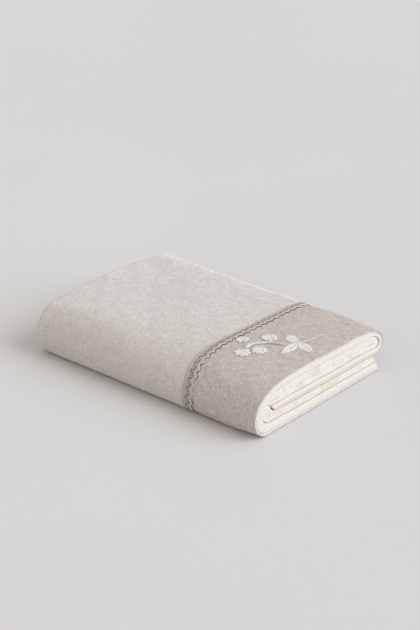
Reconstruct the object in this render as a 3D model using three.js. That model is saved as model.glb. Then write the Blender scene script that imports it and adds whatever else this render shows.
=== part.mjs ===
// A bath towel of terry cloth, folded for the shelf, with a linen band sewn over one end, crochet lace
// over the seam between the two, and a raised sprig of flowers and leaves on the linen.
//
// The cloth is folded in quarters along its length and then in thirds across its width, so the packet
// shows its hems at the decorated end (+X), a big round fold at the front (-Y) and a smaller one at the
// back (+Y), where the free edge of the bottom third also ends. Millimetres, +Z up. The origin is the
// middle of the footprint, on the surface that the towel lies on.

import * as THREE from 'three';

// Driving dimensions of the packet
const PACKET_LENGTH = 350; // a quarter of the towel's 1400 mm
const PACKET_DEPTH = 245; // a third of the towel's 700 mm, and the roundness of the folds
const CROWN = 65; // the highest place, behind the front fold
const HALF_LENGTH = PACKET_LENGTH / 2;
const HALF_DEPTH = PACKET_DEPTH / 2;
const BEND_HEIGHT = 27; // where the front fold stands out furthest

// The four layers of the quarter-folded cloth, as shares of the stack that is folded in thirds
const STACK = 21; // usual thickness of the four layers together
const LAYER = 0.215; // one layer
const LAYER_PITCH = (1 - LAYER) / 3; // from one layer to the next, with the air between them
const BEND_REACH = STACK / 2; // how far the outer bend at the plain end stands out

// The decorated end
const SEAM = 59; // where terry ends and linen begins on the top, measured along X
const SEAM_DRIFT = 7; // how far the seam wanders towards the linen over the front fold
const CLOTH_GAP = 0.3; // between pieces that lie on each other
const LACE_WIDTH = 11;
const LACE_THICKNESS = 1;
const SCALLOP_DEPTH = 2.4;
const SCALLOPS = 68;
const LACE_FLARE = 4; // how much wider the lace lies where it is drawn round the front fold
const LACE_REACH = LACE_WIDTH + LACE_FLARE;
const LINEN_THICKNESS = 1;
const LINEN_SINK = LACE_THICKNESS + CLOTH_GAP; // depth of the linen's face under the lace
const LINEN_LEVEL = 0.2; // its depth beyond the lace
const LINEN_EASE = 20; // the length over which it comes up to that

// The sprig
const SPRIG_HEIGHT = 1.3;
const PETALS = 8;
const PETAL_NOTCH = 0.26; // how deep the flower's rim dips between two petals, as a share of its radius
const TOOTH = 0.16; // how far a serrated leaf's teeth stand out, as a share of its half width

// The packet seen from its decorated end, as a course from the free edge under the back fold forwards
// along the bottom, round the front, back over the top, round the back and forwards to the free edge
// inside. skin is the outside of the outermost layer and core the inside of the innermost one, both
// as [y, z]. strips is how many flat strips the cloth has up to the next row.
const FOLDS = [
  { place: 'free edge, bottom', skin: [115.5, 0], core: [107.5, 20.3], strips: 1 },
  { place: 'bottom third', skin: [60, 0], core: [60, 22.4], strips: 1 },
  { place: 'bottom third', skin: [0, 0], core: [0, 23.7], strips: 1 },
  { place: 'bottom third', skin: [-60, 0], core: [-56, 24.6], strips: 1 },
  { place: 'front fold', skin: [-107, 0], core: [-89, 26.5], strips: 2 },
  { place: 'front fold', skin: [-116.2, 4.6], core: [-97, 29], strips: 2 },
  { place: 'front fold', skin: [-121.2, 15.2], core: [-101.6, 32.2], strips: 2 },
  { place: 'front fold', skin: [-HALF_DEPTH, BEND_HEIGHT], core: [-103.2, 36.2], strips: 2 },
  { place: 'front fold', skin: [-115.5, 44], core: [-101.3, 40.6], strips: 2 },
  { place: 'front fold', skin: [-102, 55.5], core: [-93.5, 43], strips: 2 },
  { place: 'front fold', skin: [-82, 62.4], core: [-79, 43.8], strips: 2 },
  { place: 'top third', skin: [-47, CROWN], core: [-51, 43.5], strips: 2 },
  { place: 'top third', skin: [-11, 64.7], core: [-12, 42.3], strips: 2 },
  { place: 'top third', skin: [39, 63.2], core: [40, 41.3], strips: 1 },
  { place: 'top third', skin: [79, 61.8], core: [77, 41], strips: 1 },
  { place: 'back fold', skin: [96, 60.4], core: [92, 40.8], strips: 1 },
  { place: 'back fold', skin: [107.2, 58.1], core: [99.5, 40.6], strips: 2 },
  { place: 'back fold', skin: [116, 52.6], core: [103.2, 40.3], strips: 2 },
  { place: 'back fold', skin: [HALF_DEPTH, 42], core: [104.4, 39.6], strips: 2 },
  { place: 'back fold', skin: [120.6, 32.5], core: [102.8, 39], strips: 2 },
  { place: 'back fold', skin: [110.5, 25.2], core: [96, 38.9], strips: 1 },
  { place: 'middle third', skin: [80, 24.4], core: [76, 39.2], strips: 1 },
  { place: 'middle third', skin: [30, 24.5], core: [30, 39.9], strips: 1 },
  { place: 'middle third', skin: [-20, 25.3], core: [-20, 40.8], strips: 1 },
  { place: 'middle third', skin: [-60, 26.2], core: [-66, 41.3], strips: 1 },
  { place: 'free edge, inside', skin: [-86, 27.9], core: [-97, 38.9], strips: 0 },
];
const FOLD_ROW = 7; // the row of FOLDS where the front fold stands out furthest
const TOP_ROWS = { first: 10, last: 15 }; // the rows between which the sprig lies

// Slow unevenness of the whole packet
const END_SINK = 0.016; // share of its height that either end sinks
const SIDE_DIP = 0.005; // share of its depth by which the long folds dip in places
const DIP_PITCH = 62;
const RAGGED = 1.4; // how unevenly the inner layers end at the decorated end
const SHORT_EDGE = 4; // how much sooner the inner layers end at the free edge underneath

// Places where the packet stands fuller or slacker than its even shape. Each swell lies at y, fades away
// over its width and grows along X from one place to the other. A low one lifts the underside only.
const PLAIN_END = -HALF_LENGTH;
const HEM_END = HALF_LENGTH;
const SWELLS = [
  { place: 'front fold, plain end', y: -100, width: 22, from: 60, to: PLAIN_END, rise: 4, low: false },
  { place: 'bends, plain end', y: 20, width: 38, from: -90, to: PLAIN_END, rise: 3, low: false },
  { place: 'back fold under the band', y: 104, width: 34, from: 60, to: 120, rise: 2, low: false },
  { place: 'back fold, hem end', y: 110, width: 18, from: 150, to: HEM_END, rise: -3, low: false },
  { place: 'front corner, hem end', y: -118, width: 10, from: 130, to: HEM_END, rise: 5, low: true },
];

const COLOURS = { terry: 0xded8d2, linen: 0xc3b9af, lace: 0xafa5a0, thread: 0xe1e2e0 };

const bend = (points) => new THREE.CatmullRomCurve3(points.map(([y, z]) => new THREE.Vector3(0, y, z)));
const skin = bend(FOLDS.map((row) => row.skin));
const core = bend(FOLDS.map((row) => row.core));
const LAST_ROW = FOLDS.length - 1;

const linenDepthAt = (x) => {
  const eased = THREE.MathUtils.clamp((x - SEAM - LACE_REACH) / LINEN_EASE, 0, 1);
  return THREE.MathUtils.lerp(LINEN_SINK, LINEN_LEVEL, eased);
};

// How far the cloth's ground lies below the packet's skin: the pile stops at the seam, and the layers
// inside make room for the linen little by little.
function recessAt(x, level) {
  const ground = linenDepthAt(x) + LINEN_THICKNESS + CLOTH_GAP;
  const outermost = level < LAYER / 4;
  if (outermost) return x < SEAM - CLOTH_GAP * 1.5 ? 0 : ground;
  return ground * THREE.MathUtils.smoothstep(x, SEAM - 37, SEAM + 33);
}

// The seam is straight on the top, and wanders most where the front fold stands out.
function driftAt(x, row) {
  const overFold = row < FOLD_ROW
    ? THREE.MathUtils.smoothstep(row, 0, FOLD_ROW)
    : 1 - THREE.MathUtils.smoothstep(row, FOLD_ROW, TOP_ROWS.first);
  const beforeSeam = THREE.MathUtils.smoothstep(x, SEAM - 120, SEAM);
  const afterLace = THREE.MathUtils.smoothstep(x, SEAM + LACE_WIDTH, HALF_LENGTH - 5);
  return SEAM_DRIFT * overFold * (beforeSeam - afterLace);
}

function settle(x, y, z) {
  const sink = END_SINK * (x / HALF_LENGTH) ** 2;
  const dip = (SIDE_DIP * (1 + Math.sin(x / DIP_PITCH))) / 2;
  let height = z * (1 - sink);
  SWELLS.forEach((swell) => {
    const grown = THREE.MathUtils.smoothstep((x - swell.from) / (swell.to - swell.from), 0, 1);
    const near = Math.exp(-(((y - swell.y) / swell.width) ** 2));
    const share = swell.low ? Math.max(1 - z / BEND_HEIGHT, 0) ** 2 : z / CROWN;
    height += swell.rise * grown * near * share;
  });
  return new THREE.Vector3(x, y * (1 - dip), height);
}

// A point of the packet: x along it, row along the course of the folds, depth below its skin.
function inPacket(x, row, depth) {
  const point = skin.getPoint(row / LAST_ROW);
  point.z = Math.max(point.z, 0);
  const inwards = core.getPoint(row / LAST_ROW).sub(point).normalize();
  point.addScaledVector(inwards, depth);
  return settle(x + driftAt(x, row), point.y, point.z);
}

function stackThickness(row) {
  return skin.getPoint(row / LAST_ROW).distanceTo(core.getPoint(row / LAST_ROW));
}

// The rows, whole and in between, at which the cloth is creased into flat strips
function stripRows() {
  const rows = [];
  FOLDS.forEach((fold, number) => {
    for (let strip = 0; strip < fold.strips; strip += 1) rows.push(number + strip / fold.strips);
  });
  return [...rows, LAST_ROW];
}

function geometryOf(points, index) {
  const geometry = new THREE.BufferGeometry().setFromPoints(points);
  geometry.setIndex(index);
  geometry.computeVertexNormals();
  return geometry;
}

// A closed sheet from two like grids of points, its face and its back, joined all round the rim.
function sheetSolid(face, back) {
  const rows = face.length;
  const columns = face[0].length;
  const lastColumn = columns - 1;
  const index = [];
  const quad = (a, b, c, d) => index.push(a, c, b, a, d, c);
  const faceAt = (i, j) => i * columns + j;
  const backAt = (i, j) => rows * columns + faceAt(i, j);
  for (let i = 0; i < rows - 1; i += 1) {
    for (let j = 0; j < lastColumn; j += 1) {
      quad(faceAt(i, j), faceAt(i + 1, j), faceAt(i + 1, j + 1), faceAt(i, j + 1));
      quad(backAt(i, j), backAt(i, j + 1), backAt(i + 1, j + 1), backAt(i + 1, j));
    }
    quad(faceAt(i, 0), backAt(i, 0), backAt(i + 1, 0), faceAt(i + 1, 0));
    quad(faceAt(i + 1, lastColumn), backAt(i + 1, lastColumn), backAt(i, lastColumn), faceAt(i, lastColumn));
  }
  for (let j = 0; j < lastColumn; j += 1) {
    quad(faceAt(0, j + 1), backAt(0, j + 1), backAt(0, j), faceAt(0, j));
    quad(faceAt(rows - 1, j), backAt(rows - 1, j), backAt(rows - 1, j + 1), faceAt(rows - 1, j + 1));
  }
  return geometryOf([...face.flat(), ...back.flat()], index);
}

function piece(name, geometry, colour, roughness = 1) {
  const mesh = new THREE.Mesh(geometry, new THREE.MeshStandardMaterial({ color: colour, roughness }));
  mesh.name = name;
  return mesh;
}

// The terry cloth. Its course to and fro starts at the hem under the linen, runs to the outer bend at
// the plain end, back inside to the fold at the decorated end, and so on to the other hem.
const LEVELS = [0, 1, 2, 3].map((number) => LAYER / 2 + number * LAYER_PITCH);
const BEND_X = BEND_REACH - HALF_LENGTH;
const FOLD_X = HALF_LENGTH - 5.5;
const HEM_ROUNDING = 1.5;
const LINEN_STOPS = [SEAM + LACE_REACH, SEAM + LACE_REACH + LINEN_EASE, 125, 152];
const INNER_STOPS = [-138, -110, -50, 10, 65, 90, 125, 152];
const OUTER_STOPS = [-138, -110, -50, 10, SEAM - 0.6, SEAM - 0.3, ...LINEN_STOPS];

function clothCourse() {
  const face = [];
  const back = [];
  function lay(x, level, heading, fullness = 1) {
    const half = (fullness * LAYER) / 2;
    const alongX = -Math.sin(heading) * half * STACK;
    const through = Math.cos(heading) * half;
    const ragged = x >= FOLD_X && level > LAYER;
    face.push({ x: x + alongX, level: level + through, ragged });
    back.push({ x: x - alongX, level: level - through, ragged });
  }
  function run(stops, level, heading) {
    stops.forEach((x) => lay(x, level, heading));
  }
  // A round turn between two layers, with the face of the cloth outside it or inside it
  function turn(x, fromLevel, toLevel, fromHeading, toHeading, faceOutside, facets) {
    const radius = (Math.abs(toLevel - fromLevel) / 2) * (faceOutside ? 1 : -1);
    for (let facet = 0; facet <= facets; facet += 1) {
      const heading = THREE.MathUtils.lerp(fromHeading, toHeading, facet / facets);
      const middle = (fromLevel + toLevel) / 2;
      lay(x - Math.sin(heading) * radius * STACK, middle + Math.cos(heading) * radius, heading);
    }
  }
  const leftwards = Math.PI;
  const [outer, second, third, inner] = LEVELS;
  lay(HALF_LENGTH, outer, leftwards, 0.6);
  run([HALF_LENGTH - HEM_ROUNDING, ...OUTER_STOPS.toReversed()], outer, leftwards);
  turn(BEND_X, outer, inner, leftwards, 0, true, 8);
  run(INNER_STOPS, inner, 0);
  turn(FOLD_X, inner, third, 0, -leftwards, true, 4);
  run(INNER_STOPS.toReversed(), third, -leftwards);
  turn(BEND_X, third, second, -leftwards, 0, false, 4);
  run([...INNER_STOPS, HALF_LENGTH - HEM_ROUNDING], second, 0);
  lay(HALF_LENGTH, second, 0, 0.6);
  return { face, back };
}

function towel() {
  const { face, back } = clothCourse();
  const grid = (side) => side.map(({ x, level, ragged }) => stripRows().map((row) => {
    const recess = recessAt(x, level);
    const depth = recess + level * (stackThickness(row) - recess);
    const raggedness = ragged ? (RAGGED * (1 + Math.sin(row + 3 * level))) / 2 : 0;
    const point = inPacket(x - raggedness, row, depth);
    if (row === 0) point.y -= SHORT_EDGE * Math.sin(Math.PI * Math.min(level, 1)) ** 2;
    return point;
  }));
  return piece('towel', sheetSolid(grid(face), grid(back)), COLOURS.terry);
}

function linenBand() {
  const stops = [SEAM + 1.5, ...LINEN_STOPS, HALF_LENGTH].toReversed();
  const course = (x, thickness) => stripRows().map((row) => inPacket(x, row, linenDepthAt(x) + thickness));
  const grid = (thickness) => stops.map((x) => course(x, thickness));
  return piece('linen_band', sheetSolid(grid(0), grid(LINEN_THICKNESS)), COLOURS.linen);
}

// How much wider the lace lies round the front fold, from none at its foot and on the top
function flareAt(row) {
  const { smoothstep } = THREE.MathUtils;
  return LACE_FLARE * smoothstep(row, 3, 5) * (1 - smoothstep(row, 9, 12));
}

// The lace strip: straight along the terry, scalloped on the linen
function laceTrim() {
  const facets = 4;
  const columns = Array.from({ length: SCALLOPS * facets + 1 }, (_, number) => number / (SCALLOPS * facets));
  const scallopAt = (share) => SCALLOP_DEPTH * (Math.sin(Math.PI * SCALLOPS * share) ** 2 - 1);
  const grid = (depth) => [1, 0].map((outerEdge) => columns.map((share) => {
    const row = skin.getUtoTmapping(share) * LAST_ROW;
    const reach = LACE_WIDTH + flareAt(row) + scallopAt(share);
    return inPacket(SEAM + outerEdge * reach, row, depth);
  }));
  return piece('lace_trim', sheetSolid(grid(0), grid(LACE_THICKNESS)), COLOURS.lace);
}

// A point of the sprig: x and y on the top of the band, height above the linen
function onBand(x, y, height) {
  let first = TOP_ROWS.first;
  let last = TOP_ROWS.last;
  for (let halving = 0; halving < 30; halving += 1) {
    const middle = (first + last) / 2;
    if (skin.getPoint(middle / LAST_ROW).y < y) first = middle;
    else last = middle;
  }
  return inPacket(x, first, linenDepthAt(x) - CLOTH_GAP - height);
}

// A many-petalled flower: a knot in the middle, a dip round it, the petals' swell and their rounded rim
function flower(name, { x, y, across, quarterTurn }) {
  const spokes = PETALS * 4;
  const rings = [
    { reach: 0.3, height: 0.6 },
    { reach: 0.72, height: 1 },
    { reach: 1, height: 0.5 },
    { reach: 1, height: 0 },
  ];
  const points = [onBand(x, y, SPRIG_HEIGHT)];
  rings.forEach(({ reach, height }) => {
    for (let spoke = 0; spoke < spokes; spoke += 1) {
      const angle = (spoke / spokes + quarterTurn / 4) * 2 * Math.PI;
      const petal = Math.abs(Math.cos((Math.PI * PETALS * spoke) / spokes)) ** 0.6;
      const radius = (across / 2) * reach * (1 - PETAL_NOTCH * (1 - petal));
      const swell = SPRIG_HEIGHT * height * (0.7 + 0.3 * petal);
      points.push(onBand(x + radius * Math.cos(angle), y + radius * Math.sin(angle), swell));
    }
  });
  points.push(onBand(x, y, 0));
  const index = [];
  const at = (ring, spoke) => 1 + ring * spokes + (spoke % spokes);
  for (let spoke = 0; spoke < spokes; spoke += 1) {
    index.push(0, at(0, spoke), at(0, spoke + 1));
    for (let ring = 0; ring < rings.length - 1; ring += 1) {
      index.push(at(ring, spoke), at(ring + 1, spoke), at(ring + 1, spoke + 1));
      index.push(at(ring, spoke), at(ring + 1, spoke + 1), at(ring, spoke + 1));
    }
    index.push(points.length - 1, at(rings.length - 1, spoke + 1), at(rings.length - 1, spoke));
  }
  return piece(name, geometryOf(points, index), COLOURS.thread);
}

// A raised strip that lies along a line of points: section gives places across it, as shares of its half
// width, and the height there. The half width may differ along it and between its two sides.
function raisedStrip(name, line, halfWidthAt, section, steps) {
  const curve = new THREE.CatmullRomCurve3(line.map(([x, y]) => new THREE.Vector3(x, y, 0)));
  const grid = (raised) => Array.from({ length: steps + 1 }, (_, step) => {
    const share = step / steps;
    const middle = curve.getPoint(share);
    const along = curve.getTangent(share);
    return section.map(({ across, height }) => {
      const reach = across * halfWidthAt(share, across);
      return onBand(middle.x + along.y * reach, middle.y - along.x * reach, raised * height * SPRIG_HEIGHT);
    });
  });
  return piece(name, sheetSolid(grid(1), grid(0)), COLOURS.thread);
}

// A pointed leaf from its stalk to its tip, widest at the share of its length called fullest, with a sunk
// midrib and, if it has teeth, one serrated side
function leaf(name, { stalk, middle, tip, halfWidth, fullest, teeth }) {
  const section = [
    { across: -1, height: 0.45 },
    { across: -0.5, height: 1 },
    { across: 0, height: 0.6 },
    { across: 0.5, height: 1 },
    { across: 1, height: 0.45 },
  ];
  const steps = teeth ? teeth * 2 : 8;
  const power = Math.log(0.5) / Math.log(fullest);
  const stalkHalfWidth = 0.35;
  const halfWidthAt = (share, across) => {
    const toothed = teeth && across > 0 && Math.round(share * steps) % 2 === 1;
    return stalkHalfWidth + halfWidth * Math.sin(Math.PI * share ** power) * (toothed ? 1 + TOOTH : 1);
  };
  return raisedStrip(name, [stalk, middle, tip], halfWidthAt, section, steps);
}

// A stem, which may thin out over the second half of its length
function stem(name, { line, halfWidth, thinnest }, steps) {
  const section = [
    { across: -1, height: 0.35 },
    { across: -0.5, height: 0.8 },
    { across: 0.5, height: 0.8 },
    { across: 1, height: 0.35 },
  ];
  const halfWidthAt = (share) => {
    const thinned = THREE.MathUtils.smoothstep(share, 0.5, 1);
    return THREE.MathUtils.lerp(halfWidth, thinnest, thinned);
  };
  return raisedStrip(name, line, halfWidthAt, section, steps);
}

const FLOWERS = [
  { x: 80.2, y: -29.6, across: 17.6, quarterTurn: 0.1 },
  { x: 100.8, y: -55.6, across: 20.2, quarterTurn: 0.85 },
  { x: 99.6, y: -4.2, across: 21.2, quarterTurn: 0.05 },
  { x: 112.7, y: -39.2, across: 19.6, quarterTurn: 0.3 },
];
const LEAVES = [
  { stalk: [133.4, 8.8], middle: [122.6, 10], tip: [111.6, 15.4], halfWidth: 7.4, fullest: 0.52, teeth: 0 },
  { stalk: [133.6, 4.6], middle: [134.8, -10.5], tip: [135.8, -28], halfWidth: 6.2, fullest: 0.46, teeth: 0 },
  { stalk: [137, 6.6], middle: [148, 3.6], tip: [163, -3.2], halfWidth: 7, fullest: 0.38, teeth: 8 },
];
const MAIN_STEM = {
  line: [[97.8, -44.6], [97.4, -36], [102.6, -25.4], [110, -15.2], [118.6, -10.4], [127, -6.8]],
  halfWidth: 2.1,
  thinnest: 0.8,
};
const TAIL_STEM = {
  line: [[136.6, 14.6], [139.8, 21], [141.4, 30], [142.6, 45.5]],
  halfWidth: 0.8,
  thinnest: 0.8,
};

const group = new THREE.Group();
group.add(towel(), linenBand(), laceTrim());
FLOWERS.forEach((row, number) => group.add(flower(`flower_${number + 1}`, row)));
LEAVES.forEach((row, number) => group.add(leaf(`leaf_${number + 1}`, row)));
group.add(stem('stem_main', MAIN_STEM, 12), stem('stem_tail', TAIL_STEM, 8));

export default group;
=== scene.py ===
# A bath towel of terry cloth, folded for the shelf, with its pile, the linen band sewn over one end, the
# crochet lace over the seam between the two, and the raised sprig of flowers and leaves on the linen.
#
# Lengths are millimetres in the solids' frame: +X towards the decorated end, +Y towards the back fold,
# +Z up. MM turns them into Blender's metres where a mesh or the camera is made.

import math

import bpy
import numpy as np
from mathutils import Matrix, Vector


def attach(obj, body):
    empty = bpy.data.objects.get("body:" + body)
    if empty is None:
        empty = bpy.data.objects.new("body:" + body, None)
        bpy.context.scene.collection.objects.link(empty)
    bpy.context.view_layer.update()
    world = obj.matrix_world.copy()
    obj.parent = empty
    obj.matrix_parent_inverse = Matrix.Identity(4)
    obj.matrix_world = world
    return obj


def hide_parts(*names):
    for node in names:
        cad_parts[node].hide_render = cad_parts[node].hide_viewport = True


MM = 0.001
SEED = 11

# The packet and its four-layer stack, as in the solids. A level is a depth below the stack's outer side,
# as a share of the stack.
PACKET_LENGTH = 350
PACKET_DEPTH = 245
CROWN = 65
HALF_LENGTH = PACKET_LENGTH / 2
HALF_DEPTH = PACKET_DEPTH / 2
BEND_HEIGHT = 27
STACK = 21
LAYER = 0.215
LAYER_PITCH = (1 - LAYER) / 3
LEVELS = [LAYER / 2 + number * LAYER_PITCH for number in range(4)]
BEND_REACH = STACK / 2

# The decorated end, as in the solids
SEAM = 59
SEAM_DRIFT = 7
DRIFT_START = SEAM - 120
DRIFT_END = HALF_LENGTH - 5
CLOTH_GAP = 0.3
LACE_WIDTH = 11
LACE_FLARE = 4
LACE_REACH = LACE_WIDTH + LACE_FLARE
LACE_THICKNESS = 1
SCALLOP_DEPTH = 2.4
SCALLOPS = 68
LINEN_THICKNESS = 1
LINEN_SINK = LACE_THICKNESS + CLOTH_GAP
LINEN_LEVEL = 0.2
LINEN_EASE = 20
SPRIG_HEIGHT = 1.3
PETALS = 8
PETAL_NOTCH = 0.3
TOOTH = 0.16

# The packet seen from its decorated end: skin is the outside of its outermost layer and core the inside
# of its innermost one, both as (y, z), from the free edge underneath round the front and back folds to
# the free edge inside. fill, which the solids don't have, is how much fuller the stack stands at its
# core close to that end.
FOLDS = [
    {"skin": (115.5, 0), "core": (107.5, 20.3), "fill": 3.5},
    {"skin": (60, 0), "core": (60, 22.4), "fill": 1.5},
    {"skin": (0, 0), "core": (0, 23.7), "fill": 0.8},
    {"skin": (-60, 0), "core": (-56, 24.6), "fill": 0.9},
    {"skin": (-107, 0), "core": (-89, 26.5), "fill": 2.2},
    {"skin": (-116.2, 4.6), "core": (-97, 29), "fill": 7.3},
    {"skin": (-121.2, 15.2), "core": (-101.6, 32.2), "fill": 8.6},
    {"skin": (-HALF_DEPTH, BEND_HEIGHT), "core": (-103.2, 36.2), "fill": 7.2},
    {"skin": (-115.5, 44), "core": (-101.3, 40.6), "fill": 4.3},
    {"skin": (-102, 55.5), "core": (-93.5, 43), "fill": 3.2},
    {"skin": (-82, 62.4), "core": (-79, 43.8), "fill": 2.7},
    {"skin": (-47, CROWN), "core": (-51, 43.5), "fill": 2.2},
    {"skin": (-11, 64.7), "core": (-12, 42.3), "fill": 1.7},
    {"skin": (39, 63.2), "core": (40, 41.3), "fill": 1.8},
    {"skin": (79, 61.8), "core": (77, 41), "fill": 1.9},
    {"skin": (96, 60.4), "core": (92, 40.8), "fill": 1.6},
    {"skin": (107.2, 58.1), "core": (99.5, 40.6), "fill": 1.4},
    {"skin": (116, 52.6), "core": (103.2, 40.3), "fill": 1.3},
    {"skin": (HALF_DEPTH, 42), "core": (104.4, 39.6), "fill": 1},
    {"skin": (120.6, 32.5), "core": (102.8, 39), "fill": 1},
    {"skin": (110.5, 25.2), "core": (96, 38.9), "fill": 0.9},
    {"skin": (80, 24.4), "core": (76, 39.2), "fill": 1.7},
    {"skin": (30, 24.5), "core": (30, 39.9), "fill": 1.6},
    {"skin": (-20, 25.3), "core": (-20, 40.8), "fill": 1.6},
    {"skin": (-60, 26.2), "core": (-66, 41.3), "fill": 2},
    {"skin": (-86, 27.9), "core": (-97, 38.9), "fill": 1.5},
]
LAST_ROW = len(FOLDS) - 1
FRONT_ROW = 4  # where the front fold leaves the surface
FOLD_ROW = 7  # where it stands out furthest
TOP_ROWS = (10, 15)
BACK_FOLD_ROW = 18  # where the back fold stands out furthest
BACK_ROW = 20.5  # where it meets the bottom third

# Slow unevenness of the whole packet, as in the solids
END_SINK = 0.016
SIDE_DIP = 0.005
DIP_PITCH = 62
SHORT_EDGE = 4
SWELLS = [
    {"y": -100, "width": 22, "start": 60, "end": -HALF_LENGTH, "rise": 4, "low": False},
    {"y": 20, "width": 38, "start": -90, "end": -HALF_LENGTH, "rise": 3, "low": False},
    {"y": 104, "width": 34, "start": 60, "end": 120, "rise": 2, "low": False},
    {"y": 110, "width": 18, "start": 150, "end": HALF_LENGTH, "rise": -3, "low": False},
    {"y": -118, "width": 10, "start": 130, "end": HALF_LENGTH, "rise": 5, "low": True},
]

# Soft dents of the cloth: each is a wave with its length along X and along the course, and its depth
DENTS = [
    {"length": 190, "across": 150, "turn": 0.4, "depth": 0.45},
    {"length": -83, "across": 104, "turn": 2.1, "depth": 0.3},
    {"length": 47, "across": 61, "turn": 4.0, "depth": 0.18},
    {"length": -31, "across": 38, "turn": 1.3, "depth": 0.1},
]


# Small formulas

def smoothstep(value, start, end):
    """Nought at start, one at end and a soft slope between the two."""
    share = np.clip((np.asarray(value, float) - start) / (end - start), 0, 1)
    return share * share * (3 - 2 * share)


def plateau(value, start, full, fading, end):
    """One between full and fading, and nought before start and after end."""
    return smoothstep(value, start, full) * (1 - smoothstep(value, fading, end))


def hump(value, middle, width):
    """One at the middle and falling off smoothly on both sides of it."""
    return np.exp(-(((value - middle) / width) ** 2))


def wave(place, length, turn=0.0):
    return np.sin(2 * math.pi * place / length + turn)


def unit(vectors):
    return vectors / (np.linalg.norm(vectors, axis=-1, keepdims=True) + 1e-12)


def lengths_along(points):
    """How far along the line through them all each point lies."""
    return np.concatenate([[0], np.cumsum(np.linalg.norm(np.diff(points, axis=0), axis=1))])


# Shape of the folded packet

class Curve:
    """A centripetal Catmull-Rom line through points, read by a point's number or a place in between."""

    def __init__(self, points):
        points = np.array(points, float)
        ends = [2 * points[0] - points[1]], [2 * points[-1] - points[-2]]
        line = np.concatenate([ends[0], points, ends[1]])
        step = np.linalg.norm(np.diff(line, axis=0), axis=1, keepdims=True) ** 0.5
        before, here, after = step[:-2], step[1:-1], step[2:]
        chord = np.diff(line, axis=0)
        wide = line[2:] - line[:-2]
        self.last = len(points) - 1
        self.start = points[:-1]
        self.end = points[1:]
        self.leave = (chord[:-2] / before - wide[:-1] / (before + here) + chord[1:-1] / here) * here
        self.arrive = (chord[1:-1] / here - wide[1:] / (here + after) + chord[2:] / after) * here

    def at(self, number):
        number = np.clip(np.asarray(number, float), 0, self.last)
        span = np.minimum(number.astype(int), self.last - 1)
        share = (number - span)[..., None]
        parts = (self.start, self.end, self.leave, self.arrive)
        start, end, leave, arrive = (part[span] for part in parts)
        square = 3 * (end - start) - 2 * leave - arrive
        cube = 2 * (start - end) + leave + arrive
        return start + share * (leave + share * (square + share * cube))


SKIN = Curve([fold["skin"] for fold in FOLDS])
CORE = Curve([fold["core"] for fold in FOLDS])
FILLS = [fold["fill"] for fold in FOLDS]
FINE_ROWS = np.linspace(0, LAST_ROW, 2001)
SKIN_LENGTHS = lengths_along(SKIN.at(FINE_ROWS))
COURSE_LENGTH = SKIN_LENGTHS[-1]


def length_at(row):
    return np.interp(row, FINE_ROWS, SKIN_LENGTHS)


def row_at(length):
    return np.interp(length, SKIN_LENGTHS, FINE_ROWS)


def stack_thickness(row):
    return np.linalg.norm(SKIN.at(row) - CORE.at(row), axis=-1)


def drift_at(x, row):
    """How far the cloth is drawn along X at the front fold, most at the seam and the lace."""
    over_fold = plateau(row, 0, FOLD_ROW, FOLD_ROW, TOP_ROWS[0])
    before_seam = smoothstep(x, DRIFT_START, SEAM)
    after_lace = smoothstep(x, SEAM + LACE_WIDTH, DRIFT_END)
    return SEAM_DRIFT * over_fold * (before_seam - after_lace)


def settle(x, y, z):
    """The packet's slow unevenness: its ends sink, it swells in places and its long sides dip."""
    height = z * (1 - END_SINK * (x / HALF_LENGTH) ** 2)
    for swell in SWELLS:
        grown = smoothstep(x, swell["start"], swell["end"])
        near = hump(y, swell["y"], swell["width"])
        share = np.clip(1 - z / BEND_HEIGHT, 0, None) ** 2 if swell["low"] else z / CROWN
        height = height + swell["rise"] * grown * near * share
    dip = SIDE_DIP * (1 + np.sin(x / DIP_PITCH)) / 2
    return np.stack([x, y * (1 - dip), height], -1)


def dent_at(x, row):
    """How deep the cloth is dented, none of it where the towel rests or lies against itself."""
    length = length_at(row)
    depth = sum(
        dent["depth"] * wave(x / dent["length"] + length / dent["across"], 1, dent["turn"])
        for dent in DENTS
    )
    return depth * plateau(row, FRONT_ROW, FOLD_ROW, BACK_FOLD_ROW, BACK_ROW)


def in_packet(x, row, depth):
    """A point of the packet: x along it, row along the course of the folds, depth below its skin."""
    x, row, depth = np.broadcast_arrays(*(np.asarray(part, float) for part in (x, row, depth)))
    skin = SKIN.at(row)
    skin[..., 1] = np.maximum(skin[..., 1], 0)
    inwards = CORE.at(row) - skin
    thickness = np.linalg.norm(inwards, axis=-1)
    depth = depth + dent_at(x, row) * np.clip(1 - depth / thickness, 0, 1)
    point = skin + inwards * (depth / thickness)[..., None]
    return settle(x + drift_at(x, row), point[..., 0], point[..., 1])


# Meshes

MAP_NAME = "OFBake"  # the name of the map that the sheets and loops carry
MAP_HALF = 0.49  # width of a sheet's face and of its back on that map
MAP_RIM = 0.494  # where its rim lies between the two


def add_to_scene(name, data):
    item = bpy.data.objects.new(name, data)
    bpy.context.scene.collection.objects.link(item)
    return item


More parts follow.
